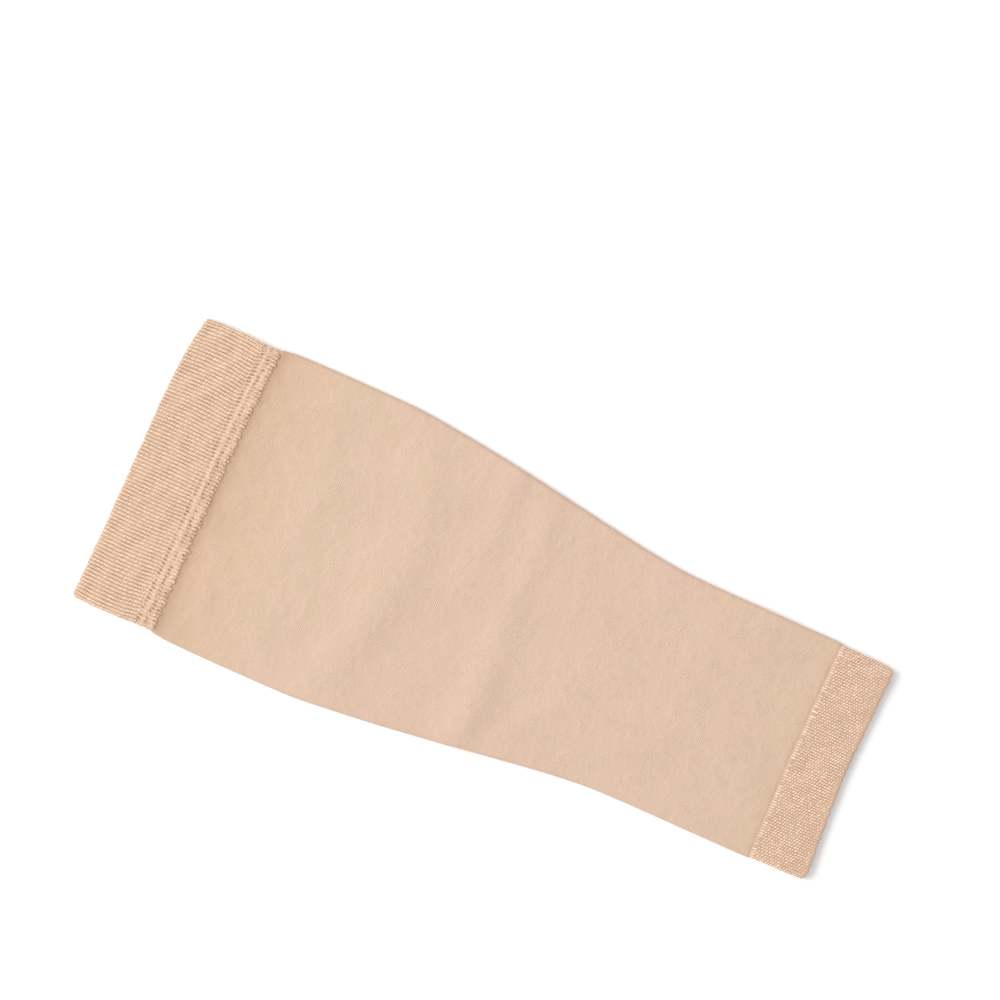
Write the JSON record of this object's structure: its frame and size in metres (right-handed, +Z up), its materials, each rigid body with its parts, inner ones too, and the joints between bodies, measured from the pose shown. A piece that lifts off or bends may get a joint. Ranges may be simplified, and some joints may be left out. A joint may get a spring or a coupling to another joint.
{
  "type": "calf compression sleeve",
  "caption": "Beige footless calf compression sleeve laid flat: seamless knit leg tube narrowing to the ankle, doubled ribbed top band joined by a raised stitched seam, ribbed ankle band.",
  "frame": {"origin": "on the surface the sleeve lies on, under the middle of its outline", "axes": "+X along the leg from the knee end to the ankle end, +Y across the sleeve, +Z up from the surface"},
  "size_m": [0.321, 0.1296, 0.006],
  "materials": {
    "leg_knit": "matte fine compression knit, beige",
    "band_rib": "matte ribbed knit, warm beige",
    "seam_thread": "soft textured thread over the knitted edge, light beige",
    "ankle_rib": "matte fine beaded rib knit, warm beige"
  },
  "bodies": {
    "root": {"top_band": "band_rib", "band_seam": "seam_thread", "leg_tube": "leg_knit", "ankle_band": "ankle_rib"}
  },
  "joints": []
}
